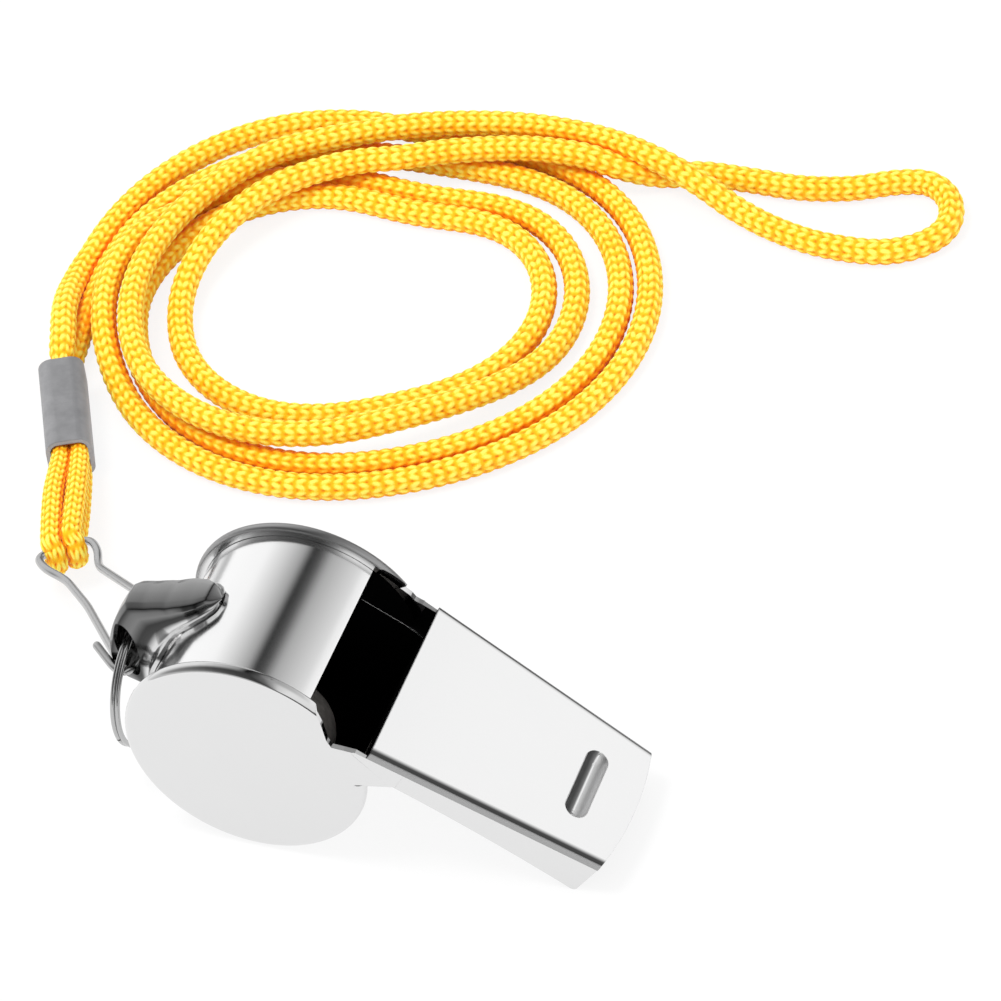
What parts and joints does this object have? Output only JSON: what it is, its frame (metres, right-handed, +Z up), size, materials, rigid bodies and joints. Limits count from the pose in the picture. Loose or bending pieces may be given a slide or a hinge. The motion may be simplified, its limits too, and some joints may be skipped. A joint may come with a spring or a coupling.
{
  "type": "sports whistle",
  "caption": "Polished steel pea whistle with a wide barrel, a split ring and a wire clip on a yellow knitted neck lanyard.",
  "frame": {"origin": "centre of the bottom of the whistle's own box, lanyard cord and clip left out, on the table", "axes": "+X towards the mouthpiece's tip, Y along the barrel's axis, +Z up from the table"},
  "size_m": [0.0935, 0.1105, 0.0258],
  "materials": {
    "polished_steel": "mirror polished",
    "wire_steel": "drawn wire, bright",
    "ferrule_metal": "matt, ribbed by the crimp",
    "pea_cork": "dark cork",
    "yellow_cord": "knitted polyester"
  },
  "bodies": {
    "whistle": {"barrel_shell": "polished_steel", "left_side_plate": "polished_steel", "right_side_plate": "polished_steel", "mouthpiece_top": "polished_steel", "mouthpiece_floor": "polished_steel", "windway_floor": "polished_steel", "lanyard_ear": "polished_steel"},
    "pea": {"cork_pea": "pea_cork"},
    "ring": {"split_ring": "wire_steel"},
    "clip": {"wire_clip": "wire_steel"},
    "lanyard": {"crimp_ferrule": "ferrule_metal", "cord_tail_inner": "yellow_cord", "cord_tail_outer": "yellow_cord", "lanyard_lead_a": "yellow_cord", "lanyard_lead_b": "yellow_cord", "lanyard_coil_a": "yellow_cord", "lanyard_coil_b": "yellow_cord", "neck_loop": "yellow_cord"}
  },
  "joints": [
    {"name": "pea_roll", "type": "hinge", "parent": "whistle", "child": "pea", "pos_m": [-0.00962, 0, 0.0129], "axis": [0, 1, 0], "continuous": true},
    {"name": "ring_swing", "type": "hinge", "parent": "whistle", "child": "ring", "pos_m": [-0.02516, 0, 0.01693], "axis": [0, 1, 0], "range_deg": [-8, 20]},
    {"name": "clip_swing", "type": "hinge", "parent": "whistle", "child": "clip", "pos_m": [-0.02452, 0, 0.01425], "axis": [0.7507, 0.6607, 0], "range_deg": [0, 12]},
    {"name": "lanyard_swing", "type": "hinge", "parent": "clip", "child": "lanyard", "pos_m": [-0.04293, 0.0201, 0.00433], "axis": [0.7507, 0.6607, 0], "range_deg": [0, 12]}
  ]
}
